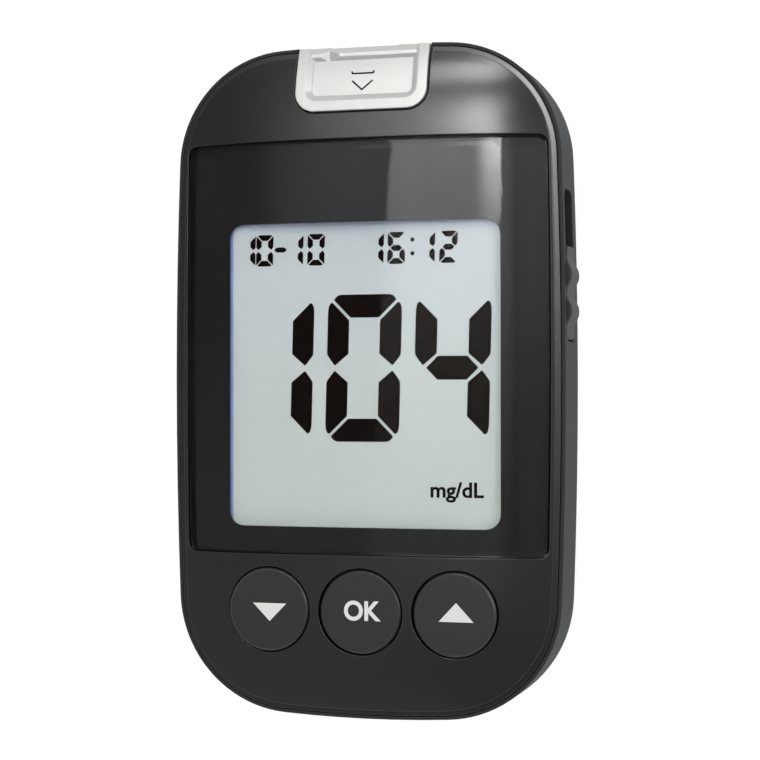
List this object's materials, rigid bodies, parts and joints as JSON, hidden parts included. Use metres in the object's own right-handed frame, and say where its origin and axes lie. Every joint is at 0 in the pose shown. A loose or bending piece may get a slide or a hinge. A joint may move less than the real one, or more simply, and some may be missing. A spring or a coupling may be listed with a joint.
{
  "type": "blood glucose meter",
  "caption": "Hand-held blood glucose meter with a display under a glossy crowned lens, round keys, a strip port and a strip ejector.",
  "frame": {"origin": "centre of the flat back, where the meter rests", "axes": "+X to the right of the display, +Y towards the strip port, +Z out of the display"},
  "size_m": [0.0577, 0.0952, 0.0184],
  "materials": {
    "charcoal_plastic": "satin charcoal paint over moulded ABS",
    "grey_plastic": "fine satin texture on moulded ABS",
    "clear_acrylic": "gloss clear acrylic",
    "black_mask": "black print behind the lens",
    "lcd_glass": "clear glass with a polariser",
    "lcd_film": "grey polariser film on the glass",
    "lcd_foil": "silver-grey reflector",
    "black_moulding": "plain black moulding",
    "silicone": "translucent grey silicone",
    "board_laminate": "green solder mask",
    "chip_epoxy": "black moulding compound",
    "bright_steel": "nickel-plated steel",
    "key_plastic": "satin dark grey",
    "silver_lacquer": "fine silver lacquer over ABS",
    "gold_plate": "gold flash on phosphor bronze",
    "slider_plastic": "satin mid grey",
    "white_acetal": "natural acetal",
    "cell_jacket": "plain printed jacket"
  },
  "bodies": {
    "root": {"back_shell": "grey_plastic", "battery_plates": "bright_steel", "battery_springs": "bright_steel", "board_screws": "bright_steel", "buzzer": "black_moulding", "case_screws": "bright_steel", "cell_lower": "cell_jacket", "cell_upper": "cell_jacket", "circuit_board": "board_laminate", "display_lens": "clear_acrylic", "dome_down": "silicone", "dome_ok": "silicone", "dome_up": "silicone", "front_end_chip": "chip_epoxy", "front_shell": "charcoal_plastic", "keypad_sheet": "silicone", "lcd_frame": "black_moulding", "lcd_front_glass": "lcd_film", "lcd_rear_glass": "lcd_glass", "lcd_reflector": "lcd_foil", "lens_tape": "black_mask", "processor_chip": "chip_epoxy", "quartz_crystal": "bright_steel", "strip_connector": "black_moulding", "strip_contacts": "gold_plate", "strip_port": "silver_lacquer", "zebra_strip": "silicone"},
    "button_down": {"button_down": "key_plastic"},
    "button_ok": {"button_ok": "key_plastic"},
    "button_up": {"button_up": "key_plastic"},
    "ejector": {"ejector_slider": "slider_plastic", "ejector_carriage": "white_acetal"},
    "battery_door": {"battery_door": "grey_plastic"}
  },
  "joints": [
    {"name": "down_press", "type": "slide", "parent": "root", "child": "button_down", "axis": [0, 0, -1], "range_m": [0, 0.0008], "stiffness_N_per_m": 1500, "deforming": ["dome_down"]},
    {"name": "ok_press", "type": "slide", "parent": "root", "child": "button_ok", "axis": [0, 0, -1], "range_m": [0, 0.0008], "stiffness_N_per_m": 1500, "deforming": ["dome_ok"]},
    {"name": "up_press", "type": "slide", "parent": "root", "child": "button_up", "axis": [0, 0, -1], "range_m": [0, 0.0008], "stiffness_N_per_m": 1500, "deforming": ["dome_up"]},
    {"name": "ejector_slide", "type": "slide", "parent": "root", "child": "ejector", "axis": [0, 1, 0], "range_m": [0, 0.0075]},
    {"name": "battery_door_hinge", "type": "hinge", "parent": "root", "child": "battery_door", "pos_m": [0, -0.0298, 0], "axis": [-1, 0, 0], "range_deg": [0, 75]}
  ]
}
